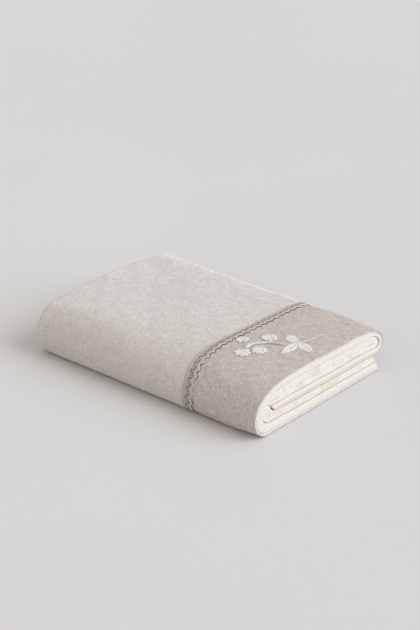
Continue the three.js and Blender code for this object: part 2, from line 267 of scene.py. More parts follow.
def new_piece(name, points, faces, material, maps=None, normals=None, **values):
    """An object from points in millimetres and faces with three or four corners each. maps gives each
    corner of each face its place on the map, normals are the points' own, and values are numbers that
    a material reads, one for each point."""
    mesh = bpy.data.meshes.new(name)
    mesh.vertices.add(len(points))
    mesh.vertices.foreach_set("co", (np.asarray(points) * MM).astype(np.float32).ravel())
    mesh.loops.add(faces.size)
    mesh.loops.foreach_set("vertex_index", faces.astype(np.int32).ravel())
    mesh.polygons.add(len(faces))
    mesh.polygons.foreach_set("loop_start", np.arange(0, faces.size, faces.shape[1], dtype=np.int32))
    mesh.polygons.foreach_set("use_smooth", np.ones(len(faces), bool))
    if maps is not None:
        layer = mesh.uv_layers.new(name=MAP_NAME)
        layer.uv.foreach_set("vector", np.asarray(maps, np.float32).ravel())
    for key, numbers in values.items():
        stored = mesh.attributes.new(key, "FLOAT", "POINT")
        stored.data.foreach_set("value", np.asarray(numbers, np.float32).ravel())
    mesh.update(calc_edges=True)
    if normals is not None:
        mesh.normals_split_custom_set_from_vertices(normals)
    mesh.materials.append(material)
    return add_to_scene(name, mesh)


def grid_faces(rows, columns, closed=False):
    """Faces of a grid of points. A closed one joins its last column to its first."""
    row, column = np.meshgrid(np.arange(rows - 1), np.arange(columns - (not closed)), indexing="ij")
    following = (column + 1) % columns
    corners = [(row, column), (row, following), (row + 1, following), (row + 1, column)]
    return np.stack([(at_row * columns + at_column).ravel() for at_row, at_column in corners], -1)


def sheet_faces(rows, columns):
    """Faces of a closed sheet whose points are the grid of its face and then the grid of its back."""
    grid = rows * columns
    face = grid_faces(rows, columns)
    number = np.arange(grid).reshape(rows, columns)
    rim = np.concatenate([number[0, :-1], number[:-1, -1], number[-1, :0:-1], number[:0:-1, 0]])
    following = np.roll(rim, -1)
    edge = np.stack([following, rim, rim + grid, following + grid], -1)
    return np.concatenate([face, face[:, ::-1] + grid, edge])


def sheet_maps(rows, columns, faces):
    """The face on one half of the map, the back on the other, and the rim on lines between them."""
    down, along = np.meshgrid(np.linspace(0, 1, rows), np.linspace(0, 1, columns), indexing="ij")
    half = np.stack([MAP_HALF * down.ravel(), along.ravel()], -1)
    places = np.concatenate([half, half + [1 - MAP_HALF, 0]])[faces]
    rim = (faces >= rows * columns).any(1) & (faces < rows * columns).any(1)
    places[rim, :, 0] = np.where(places[rim, :, 0] < 0.5, MAP_RIM, 1 - MAP_RIM)
    return places


def outward(face, back):
    """The face's normals, away from the back."""
    normal = unit(np.cross(np.gradient(face, axis=0), np.gradient(face, axis=1)))
    inwards = (normal * (face - back)).sum(-1, keepdims=True) < 0
    return np.where(inwards, -normal, normal)


def new_sheet(name, face, back, material, **values):
    """A closed sheet from two like grids of points, wound so that its faces point out."""
    rows, columns = face.shape[:2]
    faces = sheet_faces(rows, columns)
    first = face[:2, :2]
    turned = np.cross(first[1, 0] - first[0, 0], first[0, 1] - first[0, 0]) @ (first[0, 0] - back[0, 0])
    if turned > 0:
        faces = faces[:, ::-1]
    points = np.concatenate([face.reshape(-1, 3), back.reshape(-1, 3)])
    return new_piece(name, points, faces, material, sheet_maps(rows, columns, faces), **values)


# The terry cloth

PILE = 1.1  # how far the loops stand out of the woven ground
END_PILE = 0.4  # how high they stand in the fold at the decorated end, as a share of that
PILE_EDGE = SEAM - 0.6  # where the pile stops and the cloth steps down to lie under the linen
PILE_EDGE_STEP = 0.2
INNER_SINK = (SEAM - 37, SEAM + 33)  # where the layers inside sink to make room for the linen
BEND_X = BEND_REACH - HALF_LENGTH
FOLD_X = HALF_LENGTH - 5.5
SQUARENESS = 0.24  # power that squares the fold at the decorated end
FOLD_WANDER = 0.8  # how far that fold wanders in and out along the course
FOLD_SWAY = 0.4  # and up and down
PRESSED_FROM = 135  # where the outer hem begins to be pressed thin, measured along X
FILLED_FROM = 150
HEM_ROUNDING = 0.8
HEM_TIP = 0.35  # thickness of a hem's very end, as a share
HEM_LINE = 0.1  # level between the two hems at the decorated end
HEM_GAP = 0.008  # from that line to each hem
FOLD_LINE = 0.51  # level between the second hem and the fold of the inner layers
FOLD_TOUCH = 0.004  # how far the second hem passes that line
GROUND_STEP = 5.5
LINEN_STOPS = [*np.arange(160, SEAM + 2, -9), SEAM + 1, PILE_EDGE + PILE_EDGE_STEP]
SKIN_STOPS = [PILE_EDGE - PILE_EDGE_STEP, SEAM - 2, *np.arange(SEAM - 6, BEND_X, -GROUND_STEP)]
INNER_STOPS = [-160, -150, -130, -90, -40, 10, 65, 90, 110, 130, 145, 155, 162]
HEM_STOPS = [167, 171, 173.5]
HEM_STEPS = 4
BACK_HOLLOW = (15.7, 16.6, 19, 20.2)  # rows of the hollow inside the back fold
HOLLOW_DEPTH = 0.2
SLIT_DEPTH = 0.3  # how far the hems draw back from that hollow
SQUEEZES = [  # how much thinner the hems lie at the top and round the back fold, as a share of the stack
    {"share": 0.05, "rows": (8, 10, 19.5, 20.5)},
    {"share": 0.08, "rows": (14, 16, 19, 20.5)},
]
EDGE_ROUNDING = 0.05  # rows over which a selvage is rounded
EDGE_FULLNESS = 0.04
EDGE_ROWS = np.array([0, 0.012, 0.03, 0.06])
EDGE = 0.15  # rows from a selvage to the evenly spaced rows
ROW_STEPS = [  # how far apart those rows lie up to each end, in millimetres of the course
    {"end": FRONT_ROW - 1, "step": 8},
    {"end": FRONT_ROW + 5.5, "step": 2.4},
    {"end": TOP_ROWS[1], "step": 3.6},
    {"end": BACK_ROW + 0.5, "step": 2.4},
    {"end": LAST_ROW - EDGE, "step": 8},
]
SHADE_FROM = (166, 171)  # where painted tan shade begins between the layers, measured along X
TONGUE_ROWS = (LAST_ROW - 0.45, LAST_ROW - 0.1)  # of the free edge inside, which gets painted shade


def linen_depth(x):
    eased = np.clip((x - SEAM - LACE_REACH) / LINEN_EASE, 0, 1)
    return LINEN_SINK + (LINEN_LEVEL - LINEN_SINK) * eased


def recess_at(x, level):
    """How much deeper the cloth lies to make room for the linen. Its pile stops at the seam, and the
    layers inside sink little by little."""
    ground = linen_depth(x) + LINEN_THICKNESS + CLOTH_GAP
    outermost = np.where(x < PILE_EDGE, 0, ground)
    return np.where(level < LAYER / 4, outermost, ground * smoothstep(x, *INNER_SINK))


def layer_sides(x, number):
    """The levels of a layer's outer and inner side. At the decorated end the outer hem is pressed thin
    and the one below it stands fuller."""
    outer = number * LAYER_PITCH
    inner = outer + LAYER
    pressed = smoothstep(x, PRESSED_FROM, FOLD_X)
    if number == 0:
        inner = inner + (HEM_LINE - HEM_GAP - inner) * pressed
    if number == 1:
        outer = outer + (HEM_LINE + HEM_GAP - outer) * pressed
        inner = inner + (FOLD_LINE + FOLD_TOUCH - inner) * pressed
    return outer, inner


def station(x, number, sides, ground, region):
    """Where the cloth's two sides are at one place of its course: x, level and how deep the ground of
    the pile lies below that. Its face is the outer side of every other layer."""
    face, back = sides if number % 2 == 0 else sides[::-1]
    return {"face": (x, face, ground), "back": (x, back, 0.0), "region": region}


def run(stops, number, ground=0.0, region="inside"):
    """A layer's straight stretch. Only the outermost one has pile."""
    return [station(x, number, layer_sides(x, number), ground, region) for x in stops]


def hem(number, outwards):
    """The rounded end of a hem, towards its tip or away from it."""
    outer, inner = layer_sides(HALF_LENGTH, number)
    turns = np.linspace(0, 1, HEM_STEPS + 1)[1:] * math.pi / 2
    stations = []
    for turn in (turns if outwards else turns[::-1]):
        x = HALF_LENGTH - HEM_ROUNDING * (1 - math.sin(turn))
        half = (inner - outer) / 2 * (HEM_TIP + (1 - HEM_TIP) * math.cos(turn))
        sides = ((outer + inner) / 2 - half, (outer + inner) / 2 + half)
        stations.append(station(x, number, sides, 0.0, "hem"))
    return stations


def turn_back(end_x, direction, start, end, facets, ground=0.0, squareness=1.0, region="inside"):
    """The turn from the layer at level start to the one at level end, at the plain end with direction
    -1 and at the decorated end with 1. The inner layers' turn at the plain end has a radius below
    nought, so it comes out mirrored: it runs into the packet, through those layers."""
    radius = direction * (start - end) / 2
    stations = []
    for facet in range(facets + 1):
        angle = math.pi * facet / facets
        out = direction * math.sin(angle) ** squareness
        up = direction * math.copysign(abs(math.cos(angle)) ** squareness, math.cos(angle))
        sides = []
        for reach, sunk in ((radius + LAYER / 2, ground), (radius - LAYER / 2, 0.0)):
            x = end_x + out * (reach * STACK - sunk)
            sides.append((x, (start + end) / 2 + up * reach, -up * sunk))
        stations.append({"face": sides[0], "back": sides[1], "region": region})
    return stations


def cloth_course():
    """Stations of the cloth from the hem under the linen to and fro to the other hem."""
    outer, second, third, inner = LEVELS
    return [
        *hem(0, outwards=False),
        *run(HEM_STOPS[::-1], 0, region="hem"),
        *run(LINEN_STOPS, 0),
        *run(SKIN_STOPS, 0, PILE, "skin"),
        *turn_back(BEND_X, -1, outer, inner, 14, PILE, region="bend"),
        *run(INNER_STOPS, 3),
        *turn_back(FOLD_X, 1, inner, third, 12, PILE * END_PILE, SQUARENESS, "fold"),
        *run(INNER_STOPS[::-1], 2),
        *turn_back(BEND_X, -1, third, second, 6),
        *run(INNER_STOPS, 1),
        *run(HEM_STOPS, 1, region="hem"),
        *hem(1, outwards=True),
    ]


def cloth_rows():
    """Rows of the cloth's grid, close together where it curves and where its edges are rounded."""
    rows = [EDGE_ROWS]
    start = EDGE
    for part in ROW_STEPS:
        rows.append(row_at(np.arange(length_at(start), length_at(part["end"]), part["step"])))
        start = part["end"]
    return np.concatenate([*rows, LAST_ROW - EDGE_ROWS[::-1]])


def row_shape(rows):
    """What changes along the course of the folds, a number for each row."""
    along = length_at(rows)
    to_edge = np.minimum(rows, LAST_ROW - rows)
    wander = 0.5 + 0.3 * wave(along, 37, 0.7) + 0.2 * wave(along, 15.5, 2)
    return {
        "thickness": stack_thickness(rows),
        "fill": np.interp(rows, np.arange(len(FILLS)), FILLS),
        "fullness": np.sqrt(np.clip(to_edge / EDGE_ROUNDING, EDGE_FULLNESS, 1)),
        "squeeze": sum(part["share"] * plateau(rows, *part["rows"]) for part in SQUEEZES),
        "hollow": plateau(rows, *BACK_HOLLOW),
        "tongue": smoothstep(rows, *TONGUE_ROWS),
        "wander": FOLD_WANDER * wander,
        "sway": FOLD_SWAY * wave(along, 53, 1.1),
    }


def tan_at(x, level, shape):
    """How much painted shade the cloth gets, in tan: in the lines between its layers, on its free edge
    inside and in the hollow of the back fold, where those gaps lie in shade."""
    lines = hump(level, FOLD_LINE - shape["squeeze"], 0.06) + 0.5 * hump(level, HEM_LINE, 0.02)
    tan = np.clip(lines + shape["tongue"] + 0.8 * shape["hollow"] * (level > 0.3), 0, 1)
    return tan * smoothstep(x, *SHADE_FROM)


def side_at(place, side, rows, shape):
    """One side of the cloth at a station: its points, one for each row, and how much painted shade they
    get.
    """
    x, level, ground = place[side]
    middle_x, middle_level = ((face + back) / 2 for face, back in zip(place["face"][:2], place["back"]))
    x = middle_x + (x - middle_x) * shape["fullness"]
    level = middle_level + (level - middle_level) * shape["fullness"]
    near_end = smoothstep(x, FILLED_FROM, FOLD_X)
    near_line = np.interp(level, (HEM_LINE, FOLD_LINE, 1), (0, 1, 0))
    level = level - shape["squeeze"] * near_line * near_end
    recess = recess_at(x, level)
    depth = recess + level * (shape["thickness"] - recess)
    depth = depth + level ** 2 * (shape["fill"] * near_end) + ground * shape["fullness"]
    if place["region"] == "fold":
        x = x - shape["wander"] - HOLLOW_DEPTH * shape["hollow"]
        depth = depth + shape["sway"] * (1 - level)
    if place["region"] == "hem":
        depth = depth + SLIT_DEPTH * shape["hollow"] * (level > HEM_LINE) * (FOLD_LINE - level) / FOLD_LINE
    points = in_packet(x, rows, depth)
    points[..., 1] -= SHORT_EDGE / 2 * (rows == 0) * np.sin(np.pi * np.minimum(level, 1)) ** 2
    return points, tan_at(x, level, shape)


def cloth_side(stations, side, rows):
    """The grid of points of one side of the cloth, and how much painted shade each of them gets."""
    shape = row_shape(rows)
    points, tans = zip(*(side_at(place, side, rows, shape) for place in stations))
    return np.array(points), np.array(tans)


def towel_pieces(materials, rng):
    """The cloth itself, and the patches of pile on it."""
    stations = cloth_course()
    rows = cloth_rows()
    face, face_tan = cloth_side(stations, "face", rows)
    back, back_tan = cloth_side(stations, "back", rows)
    tan = np.concatenate([face_tan.ravel(), back_tan.ravel()])
    towel = new_sheet("towel_ground", face, back, materials["ground"], tan=tan)
    region = np.array([place["region"] for place in stations])

    def patch(name, where, first_row, last_row, pitch=1.0, size=1.0, look="pile", **style):
        """Pile on one region of the cloth between two rows. A turn's patch begins a station earlier."""
        first, *_, last = np.flatnonzero(region == where)
        picked = np.arange(first - (where != "skin"), last + 1)
        across = np.flatnonzero((rows >= first_row) & (rows <= last_row))
        spot = np.ix_(picked, across)
        normals = outward(face[spot], back[spot])
        return pile(name, face[spot], normals, materials[look], rng, LOOP_PITCH * pitch, size, **style)

    return towel, [
        patch("pile_front", "skin", FRONT_ROW - 0.3, 9.5),
        patch("pile_top", "skin", 9.4, 13.1),
        patch("pile_top_back", "skin", 13, 15.7),
        patch("pile_back", "skin", 15.6, BACK_ROW, 1.15, 1.15),
        patch("pile_underside", "skin", 0.02, FRONT_ROW - 0.2, 2.6, 2),
        patch("pile_plain_end", "bend", 0, LAST_ROW, 1.25, 1.2),
        patch("pile_hem_end", "fold", 0.02, LAST_ROW - 0.3, 1.2, 1.15, "end_pile", **END_STYLE),
    ]


# The loops of the pile

LOOP_PITCH = 1.05
LOOP_LENGTH = 1.5
LOOP_WIDTH = 0.9
LENGTH_SPREAD = (0.7, 1.25)
WIDTH_SPREAD = (0.75, 1.2)
RISE_SPREAD = (0.35, 1)
LOOP_TILT = 0.3
LOOP_SAG = 0.25  # how far a loop's tips hang down, as a share of its half length
LOOP_FLATNESS = 0.6
LOOP_FOOT = 0.87
LOOP_ROUNDNESS = 0.9  # how far the light on a loop follows its own shape, not that of the cloth
END_STYLE = {"stand": END_PILE, "roundness": 0.4}
LOOP_FACES = np.array([[0, 3, 2], [0, 4, 3], [0, 2, 4], [1, 2, 3], [1, 3, 4], [1, 4, 2]])
GOLDEN_STEPS = (0.7548776662, 0.5698402910)  # steps that fill a square evenly


def cell_corners(grid):
    """The four corners of each cell of a grid of points, in order round the cell."""
    corners = (grid[:-1, :-1], grid[:-1, 1:], grid[1:, 1:], grid[1:, :-1])
    return [corner.reshape(-1, 3) for corner in corners]


def scatter(surface, normals, pitch):
    """Places spread evenly over a grid of surface points, their directions up, along and across, their
    spots on a map of the grid, and how many millimetres that map spans each way."""
    corners = cell_corners(surface)
    area = np.linalg.norm(np.cross(corners[2] - corners[0], corners[3] - corners[1]), axis=-1) / 2
    total = np.cumsum(area)
    count = int(total[-1] / pitch ** 2)
    number = np.arange(count)
    cell = np.searchsorted(total, (number + 0.5) / count * total[-1])
    down, side = ((number * step) % 1 for step in GOLDEN_STEPS)
    shares = [(1 - down) * (1 - side), (1 - down) * side, down * side, down * (1 - side)]

    def between(parts):
        return sum(share[:, None] * part[cell] for share, part in zip(shares, parts))

    up = unit(between(cell_corners(normals)))
    along = unit((corners[1] - corners[0])[cell])
    rows, columns = surface.shape[0] - 1, surface.shape[1] - 1
    spot = np.stack([(cell // columns + down) / rows, (cell % columns + side) / columns], -1)
    span = np.array([rows, columns]) * math.sqrt(total[-1] / (rows * columns))
    return between(corners), up, along, np.cross(up, along), spot, span


def pile(name, surface, normals, material, rng, pitch, size, stand=1.0, roundness=LOOP_ROUNDNESS):
    """Loops of pile, each a small lying grain with a tip at either end and a flat triangle between
    them. size is that of a loop and stand how far it stands out, both as shares of the usual ones."""
    place, up, along, across, spot, span = scatter(surface, normals, pitch)
    count = len(place)
    turn = rng.uniform(0, 2 * math.pi, (count, 1))
    tilt = rng.normal(0, LOOP_TILT, (count, 1))
    length = size * LOOP_LENGTH * rng.uniform(*LENGTH_SPREAD, (count, 1)) / 2
    width = size * LOOP_WIDTH * rng.uniform(*WIDTH_SPREAD, (count, 1)) / 2
    rise = rng.uniform(*RISE_SPREAD, (count, 1))
    tone = np.repeat(rng.uniform(0, 1, count), 5)

    lie = unit(np.cos(turn) * along + np.sin(turn) * across + up * tilt)
    beside = unit(np.cross(lie, up))
    above = np.cross(beside, lie)
    middle = place + up * rise * (PILE - width) * stand
    tips = middle - up * LOOP_SAG * length
    foot = middle - above * width * LOOP_FLATNESS / 2
    points = np.stack([
        tips - lie * length,
        tips + lie * length,
        middle + above * width * LOOP_FLATNESS,
        foot + beside * width * LOOP_FOOT,
        foot - beside * width * LOOP_FOOT,
    ], 1)
    points[..., 2] = np.maximum(points[..., 2], 0)
    bulge = np.stack([-lie, lie, above, beside - above / 2, -beside - above / 2], 1)
    facings = unit(up[:, None] + roundness * bulge).reshape(-1, 3)
    faces = (LOOP_FACES + 5 * np.arange(count)[:, None, None]).reshape(-1, 3)

    local = points - place[:, None]
    offsets = np.stack([(local * axis[:, None]).sum(-1) for axis in (along, across)], -1)
    maps = np.clip(spot[:, None] + offsets / span, 0, 1).reshape(-1, 2)
    return new_piece(name, points.reshape(-1, 3), faces, material, maps[faces], facings, tone=tone)


# The linen band

LINEN_START = SEAM + 1.5  # under the lace
LINEN_ROW_STEP = 3.2
LINEN_RIM = 0.4  # thickness of its end, as a share
LINEN_STATIONS = np.concatenate([
    [LINEN_START],
    np.arange(SEAM + 4, HALF_LENGTH - 2, 2.6),
    HALF_LENGTH - np.array([1, 0.4, 0]),
])


def linen_band(material):
    rows = np.append(row_at(np.arange(0, COURSE_LENGTH, LINEN_ROW_STEP)), LAST_ROW)
    x, row = np.meshgrid(LINEN_STATIONS[::-1], rows, indexing="ij")
    edge = np.clip(HALF_LENGTH - x, 0, 1) ** 0.5
    half = LINEN_THICKNESS / 2 * (LINEN_RIM + (1 - LINEN_RIM) * edge)
    middle = linen_depth(x) + LINEN_THICKNESS / 2
    face = in_packet(x, row, middle - half)
    back = in_packet(x, row, middle + half)
    across = np.tile(x.ravel(), 2)
    along = np.tile(length_at(row).ravel(), 2)
    return new_sheet("linen", face, back, material, across=across, along=along)


# The crochet lace. A reach is measured from its straight edge towards the linen.

SCALLOP_PITCH = COURSE_LENGTH / SCALLOPS
FLARE_ROWS = (4, 6.5, 9, 12)  # a little later round the front fold than on the solid
SHEET_STEPS = 16  # points for each scallop
RIM_STEPS = 20
HOLE_DEPTH = 0.45
HOLES = [  # of one scallop, at their reach and along the scallop from its middle, alike on both sides
    {"reach": 3.9, "along": 0, "size": 0.8},
    {"reach": 3.9, "along": 4.4, "size": 1},
    {"reach": 6, "along": 2.9, "size": 1.15},
    {"reach": 6.8, "along": 0, "size": 1.15},
]
CORD_RADIUS = 0.36
CORD_DEPTH = 0.4
HEADING = (0.7, 2.3)  # reach of the two cords along its straight edge
HEADING_SWING = 0.18
RIBS = (-60, -22, 22, 60)  # degrees at which a scallop's ribs fan out
RIB_RADIUS = 0.34
RIB_DEPTH = 0.45
RIB_REACH = (3, 5.4)  # where a rib starts and how much further it goes
RIB_FAN = (0.8, 4.6)  # and the same along the scallop
ARC_HALF = 0.45  # half of the arc that ties the ribs, as a share of the scallop
ARC_INSET = 2.4
ARC_DEPTH = 0.42
RIM_RADIUS = 0.45
PICOT = 0.35  # how much a picot adds to that
SHADOW_REACH = 1.5  # how far the dark cord of painted shadow lies outside the scallops
SHADOW_SINK = 0.35
TOP_SHADOW_ROWS = (8.5, 10.5, 13.5, 15.5)


def flare_at(row):
    """How much wider the lace is where it is drawn round the front fold."""
    return LACE_FLARE * plateau(row, *FLARE_ROWS)


def on_lace(reach, length, depth):
    """A point of the lace, with its reach as if the lace were nowhere flared, and length along the
    course."""
    row = row_at(length)
    return in_packet(SEAM + reach * (1 + flare_at(row) / LACE_WIDTH), row, depth)


def scallop_reach(length):
    return LACE_WIDTH + SCALLOP_DEPTH * (np.sin(math.pi * length / SCALLOP_PITCH) ** 2 - 1)


def tube(line, radius, sides=5):
    """The rings of points round a cord that follows a line of points."""
    along = unit(np.gradient(line, axis=0))
    side = unit(np.cross(along, (1, 0, 0)) + 1e-6)
    other = np.cross(along, side)
    angle = np.arange(sides) / sides * 2 * math.pi
    ring = np.cos(angle)[:, None] * side[:, None] + np.sin(angle)[:, None] * other[:, None]
    return line[:, None] + np.broadcast_to(radius, len(line))[:, None, None] * ring


def cords(name, tubes, material):
    """One piece from several cords, each closed by drawing in its two ends."""
    points = []
    faces = []
    count = 0
    for rings in tubes:
        tips = rings[[0, -1]].mean(1, keepdims=True).repeat(rings.shape[1], 1)
        closed = np.concatenate([tips[:1], rings, tips[1:]])
        closed[..., 2] = np.maximum(closed[..., 2], 0)
        points.append(closed.reshape(-1, 3))
        faces.append(grid_faces(*closed.shape[:2], closed=True) + count)
        count += closed.shape[0] * closed.shape[1]
    return new_piece(name, np.concatenate(points), np.concatenate(faces), material)


def course_lengths(steps):
    return np.linspace(0, COURSE_LENGTH, SCALLOPS * steps + 1)


def lace_sheet(material):
    """The worked cotton between the cords, sunk in its holes, which carry painted shade."""
    lengths = course_lengths(SHEET_STEPS)
    share = np.linspace(1, 0, 19)[:, None]
    reach = 0.4 + share * (scallop_reach(lengths) - 0.9)
    from_middle = np.abs(lengths / SCALLOP_PITCH % 1 - 0.5) * SCALLOP_PITCH
    hole = sum(
        hump(np.hypot(reach - spot["reach"], from_middle - spot["along"]), 0, spot["size"])
        for spot in HOLES
    )
    hole = np.clip(hole, 0, 1)
    face = on_lace(reach, lengths, CORD_DEPTH + HOLE_DEPTH * hole)
    back = on_lace(reach, lengths, LACE_THICKNESS + 0 * reach)
    return new_sheet("lace_ground", face, back, material, hole=np.tile(hole.ravel(), 2))


def scallop_cords(middle):
    """The ribs of the scallop whose middle is at this length, and the arc that ties them."""
    share = np.linspace(0, 1, 6)
    tubes = []
    for angle in np.radians(RIBS):
        reach = RIB_REACH[0] + share * RIB_REACH[1] * math.cos(angle)
        along = middle + (RIB_FAN[0] + share * RIB_FAN[1]) * math.sin(angle)
        tubes.append(tube(on_lace(reach, along, RIB_DEPTH), RIB_RADIUS))
    arc = middle + np.linspace(-ARC_HALF, ARC_HALF, 9) * SCALLOP_PITCH
    tubes.append(tube(on_lace(scallop_reach(arc) - ARC_INSET, arc, ARC_DEPTH), CORD_RADIUS))
    return tubes


def lace_yarn(material):
    """The two cords along the straight edge, and each scallop's own."""
    fine = course_lengths(SHEET_STEPS)
    tubes = []
    for number, reach in enumerate(HEADING):
        swing = HEADING_SWING * wave(fine, 1.9, number * 2)
        tubes.append(tube(on_lace(reach + swing, fine, CORD_DEPTH), CORD_RADIUS))
    for scallop in range(SCALLOPS):
        tubes += scallop_cords((scallop + 0.5) * SCALLOP_PITCH)
    return cords("lace_yarn", tubes, material)


def lace_rim(material):
    """The scallops' rim with its picots."""
    fine = course_lengths(RIM_STEPS)
    radius = RIM_RADIUS + PICOT * np.abs(wave(fine, SCALLOP_PITCH / 2))
    edge = on_lace(scallop_reach(fine) + 0.2, fine, CORD_DEPTH)
    return cords("lace_rim", [tube(edge, radius, 6)], material)


def lace_rim_shadow(material):
    """Painted shadow under the scallops' rim: a dark cord in short lines, longer and thicker on the top."""
    fine = course_lengths(RIM_STEPS)
    on_top = plateau(row_at(fine), *TOP_SHADOW_ROWS)
    shows = smoothstep(wave(fine, 47, 1) + 0.7 * wave(fine, 17.3), -0.4, 0.8)
    shows = np.clip(shows + 0.5 * on_top, 0, 1)
    thick = (0.08 + (0.2 + 0.24 * on_top) * shows) * (1 + 0.3 * wave(fine, 3.1))
    line = on_lace(scallop_reach(fine) + SHADOW_REACH, fine, LINEN_SINK - SHADOW_SINK * shows)
    return cords("lace_rim_shadow", [tube(line, thick)], material)


# The sprig

FLOWERS = [
    {"x": 80.2, "y": -29.6, "across": 18, "quarter_turn": 0.1},
    {"x": 100.8, "y": -55.6, "across": 20.8, "quarter_turn": 0.85},
    {"x": 99.6, "y": -4.2, "across": 21.8, "quarter_turn": 0.05},
    {"x": 112.7, "y": -39.2, "across": 20.2, "quarter_turn": 0.3},
]
LEAVES = [
    {"line": [(135.8, 8.2), (122.6, 10), (111.6, 15.4)], "half_width": 7.6, "fullest": 0.52, "teeth": 0},
    {"line": [(133.8, 7.8), (134.8, -10.5), (135.8, -28)], "half_width": 6.2, "fullest": 0.46, "teeth": 0},
    {"line": [(134.4, 7.4), (148, 3.6), (163, -3.2)], "half_width": 7, "fullest": 0.38, "teeth": 8},
]
MAIN_STEM = {
    "line": [(98.6, -47.4), (97.4, -36), (102.6, -25.4), (110, -15.2), (118.6, -10.4), (127, -6.8)],
    "half_width": 2.2,
    "thinnest": 0.9,
    "twist": 5.5,
}
TAIL_STEM = {
    "line": [(136, 10), (139.8, 21), (141.4, 30), (142.6, 45.5)],
    "half_width": 1,
    "thinnest": 0.8,
    "twist": 3,
}
PETAL_STEPS = 20
PETAL_STITCHES = 6
PETAL_UNEVENNESS = (-0.06, 0.04)
UNDERCUT = 0.92  # how far a petal's foot lies inside its rim
KNOT = 0.35  # height of the knot in a flower's middle, and depth of the hollow round it, as a share
LEAF_STEPS = 96
LEAF_STITCHES = 24
STITCH_SLANT = 2.2  # how many stitches a leaf's side leans over
MIDRIB = {"depth": 0.4, "width": 0.7}
STALK_HALF_WIDTH = 0.35
STEM_STEPS = 260
THINNED_FROM = 0.6
YARN_SHARE = 0.47  # a stem's yarn, as a share of the stem's half width
FINE_TOP_ROWS = np.linspace(*TOP_ROWS, 400)
TOP_Y = SKIN.at(FINE_TOP_ROWS)[:, 0]


def on_band(x, y, height):
    """A point of the sprig: x and y on the top of the band, height above the linen."""
    return in_packet(x, np.interp(y, TOP_Y, FINE_TOP_ROWS), linen_depth(x) - CLOTH_GAP - height)


def smooth_line(points, count):
    """Places along a smooth line through a few points, and the directions to the right of it there."""
    line = Curve(points)
    place = line.at(np.linspace(0, line.last, count))
    along = unit(np.gradient(place, axis=0))
    return place, np.stack([along[:, 1], -along[:, 0]], -1)


def flower(name, spot, material, rng):
    """A flower of satin stitches that run out along its petals from a knot in the middle."""
    spokes = PETALS * PETAL_STEPS
    turn = np.arange(spokes) / spokes
    angle = (turn + spot["quarter_turn"] / 4) * 2 * math.pi
    petal = np.abs(np.cos(math.pi * PETALS * turn)) ** 0.6
    nearest = np.round(turn * PETALS).astype(int) % PETALS
    uneven = 1 + petal * rng.uniform(*PETAL_UNEVENNESS, PETALS)[nearest]
    reach = np.linspace(0, 1, 15)[:, None] ** 0.8
    radius = spot["across"] / 2 * reach * (1 - PETAL_NOTCH * (1 - petal)) * uneven
    swell = 0.55 + 0.45 * petal * smoothstep(reach, 0.2, 0.6)
    rounded = np.sqrt(np.clip(1.02 - reach ** 6, 0, 1))
    middle = KNOT * hump(reach, 0, 0.16) - KNOT * hump(reach, 0.3, 0.09)
    stitches = 0.09 * np.cos(PETALS * PETAL_STITCHES * angle) * smoothstep(reach, 0.2, 0.5)
    height = SPRIG_HEIGHT * np.clip(swell * rounded + middle + stitches, 0, 1.15)
    height[-1] = 0
    radius[-1] *= UNDERCUT
    under = 0.9 * radius[::-2]
    radius = np.concatenate([radius, under])
    height = np.concatenate([height, 0 * under])
    grid = on_band(spot["x"] + radius * np.cos(angle), spot["y"] + radius * np.sin(angle), height)
    return new_piece(name, grid.reshape(-1, 3), grid_faces(len(grid), spokes, closed=True), material)


def leaf(name, spot, material):
    """A leaf of satin stitches that slant from its sunk midrib to its two sides."""
    place, beside = smooth_line(spot["line"], LEAF_STEPS)
    share = np.linspace(0, 1, LEAF_STEPS)[:, None]
    across = np.linspace(-1, 1, 25)
    power = math.log(0.5) / math.log(spot["fullest"])
    toothed = 1 + TOOTH * np.abs(np.sin(math.pi * spot["teeth"] * share)) * (across > 0)
    half = STALK_HALF_WIDTH + spot["half_width"] * np.sin(math.pi * share ** power) * toothed
    stitches = np.cos(2 * math.pi * (share * LEAF_STITCHES - np.abs(across) * STITCH_SLANT))
    rounded = np.sqrt(np.clip(1 - across ** 4, 0, 1))
    midrib = MIDRIB["depth"] * hump(across * half, 0, MIDRIB["width"])
    height = SPRIG_HEIGHT * rounded * (0.92 + 0.1 * stitches - midrib)
    spots = place[:, None] + beside[:, None] * (across * half)[..., None]
    face = on_band(spots[..., 0], spots[..., 1], height)
    back = on_band(spots[..., 0], spots[..., 1], -CLOTH_GAP / 3)
    return new_sheet(name, face, back, material)


def twisted_stem(name, stem, material):
    """Two yarns wound round each other along a line on the linen."""
    place, beside = smooth_line(stem["line"], STEM_STEPS)
    length = lengths_along(place)
    thinned = smoothstep(np.linspace(0, 1, STEM_STEPS), THINNED_FROM, 1)
    half = stem["half_width"] + (stem["thinnest"] - stem["half_width"]) * thinned
    yarn = half * YARN_SHARE
    tubes = []
    for start in (0, math.pi):
        swing = (half - yarn) * wave(length, stem["twist"], start)
        lift = yarn * (1.2 + 0.5 * wave(length, stem["twist"], start + math.pi / 2))
        spots = place + beside * swing[:, None]
        tubes.append(tube(on_band(spots[:, 0], spots[:, 1], lift), yarn, 7))
    return cords(name, tubes, material)


# Materials

def new_material(name):
    material = bpy.data.materials.new(name)
    material.use_nodes = True
    tree = material.node_tree
    return material, tree, tree.nodes["Principled BSDF"]


def plug(tree, socket, value):
    """Link another node's output to a socket, or set the socket's own value."""
    if isinstance(value, bpy.types.NodeSocket):
        tree.links.new(value, socket)
    else:
        socket.default_value = value


def add_node(tree, kind, inputs=None, **settings):
    node = tree.nodes.new(kind)
    for key, value in settings.items():
        setattr(node, key, value)
    for key, value in (inputs or {}).items():
        plug(tree, node.inputs[key], value)
    return node


def linear(red, green, blue):
    """A colour given as it looks on screen, in light's own scale."""
    parts = []
    for channel in (red, green, blue):
        part = channel / 255
        parts.append(part / 12.92 if part <= 0.04045 else ((part + 0.055) / 1.055) ** 2.4)
    return (*parts, 1)


